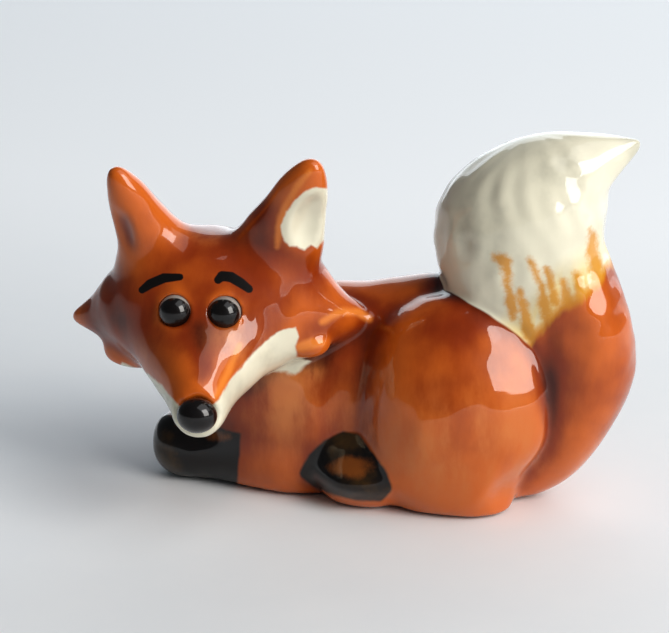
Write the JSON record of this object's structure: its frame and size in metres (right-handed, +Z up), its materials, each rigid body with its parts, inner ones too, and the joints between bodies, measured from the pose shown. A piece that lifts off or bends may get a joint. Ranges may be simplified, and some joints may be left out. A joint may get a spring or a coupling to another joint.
{
  "type": "fox figurine",
  "caption": "Small glazed pottery fox that lies with its paws forward, head turned and bushy tail curled up behind.",
  "frame": {"origin": "on the flat base of the torso, below the middle of the body, where it meets the table", "axes": "+Z up, +X from the head end to the tail end along the body, -Y towards the fox's left side, where the face looks"},
  "size_m": [0.0565, 0.0329, 0.0386],
  "materials": {
    "orange_glaze": "glossy orange-brown glaze",
    "tail_glaze": "glossy cream glaze over orange-brown",
    "brown_glaze": "glossy dark brown glaze",
    "black_glaze": "glossy black glaze"
  },
  "bodies": {
    "root": {"torso": "orange_glaze", "neck": "orange_glaze", "head": "orange_glaze", "tail": "tail_glaze", "left_shoulder": "orange_glaze", "left_foreleg": "orange_glaze", "left_haunch": "orange_glaze", "left_hind_foot": "brown_glaze", "left_ear": "orange_glaze", "left_cheek": "orange_glaze", "left_tuft": "orange_glaze", "left_eye": "black_glaze", "right_shoulder": "orange_glaze", "right_foreleg": "orange_glaze", "right_haunch": "orange_glaze", "right_hind_foot": "brown_glaze", "right_ear": "orange_glaze", "right_cheek": "orange_glaze", "right_tuft": "orange_glaze", "right_eye": "black_glaze", "nose": "black_glaze"}
  },
  "joints": []
}
